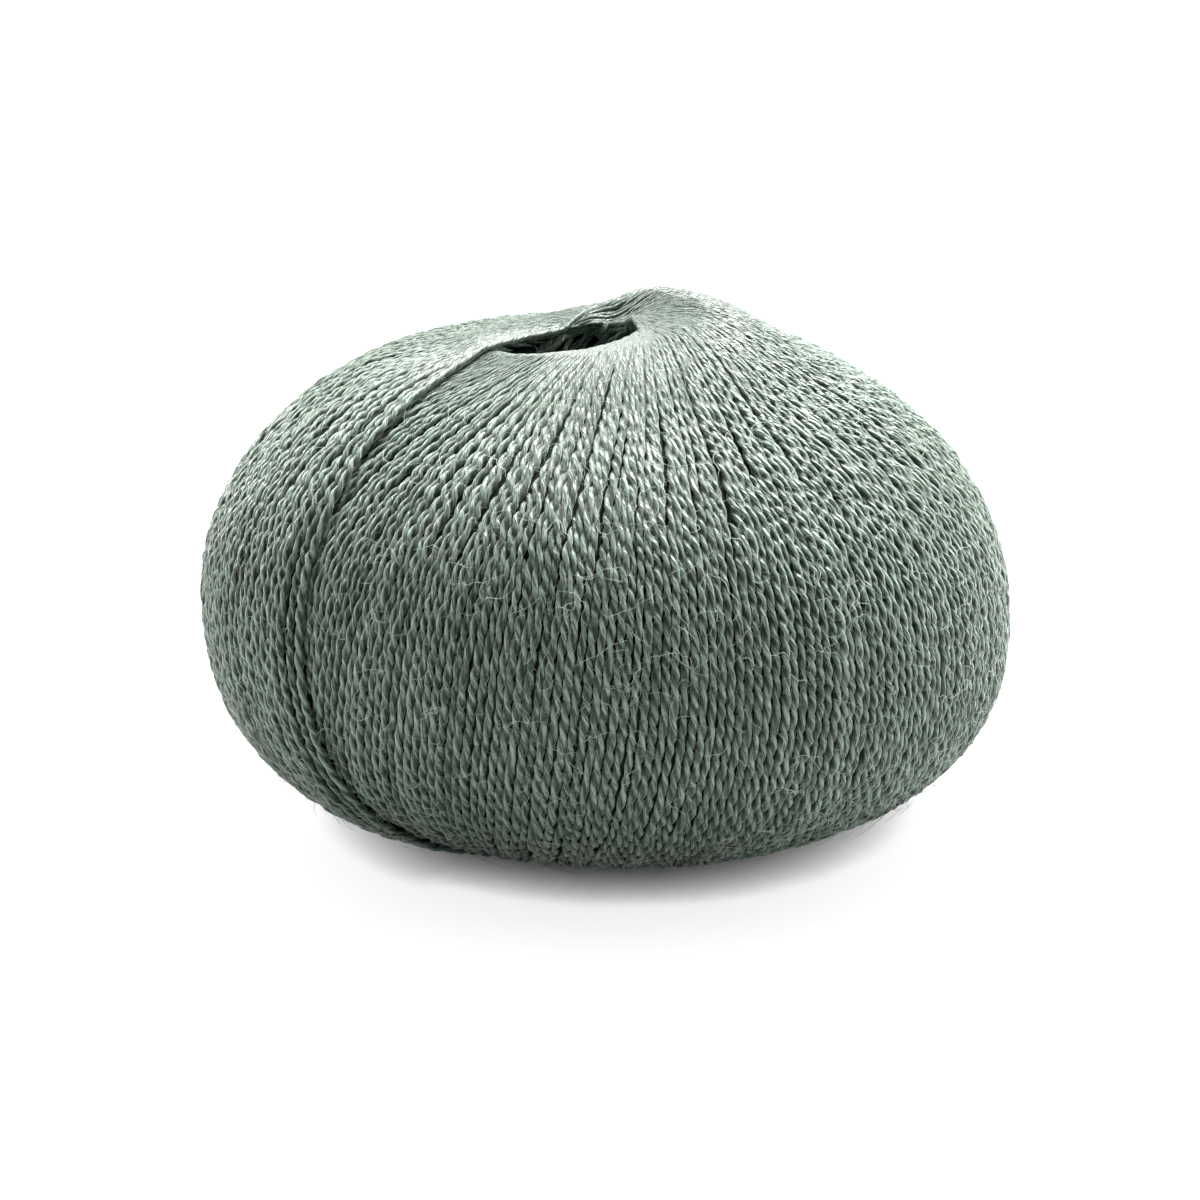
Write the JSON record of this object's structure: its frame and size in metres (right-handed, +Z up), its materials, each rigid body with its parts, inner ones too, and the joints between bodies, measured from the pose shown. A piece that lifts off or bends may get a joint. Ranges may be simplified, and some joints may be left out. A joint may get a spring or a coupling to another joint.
{
  "type": "ball of yarn",
  "caption": "Squat centre-pull ball of fine plied yarn, with steep turns that cross round a small hole at the top and a raised edge where the newest turns lie.",
  "frame": {"origin": "on the surface that the ball rests on, under the middle of the ball's outline as seen from above", "axes": "+Z up along the winding axis, through the pull hole, -Y towards the front, +X to the right, the raised edge of the newest turns on the front left"},
  "size_m": [0.091, 0.089, 0.0568],
  "materials": {
    "yarn": "soft grey-green plied yarn with a dull silky sheen and fine pale hairs"
  },
  "bodies": {
    "root": {"wound_ball": "yarn"}
  },
  "joints": []
}
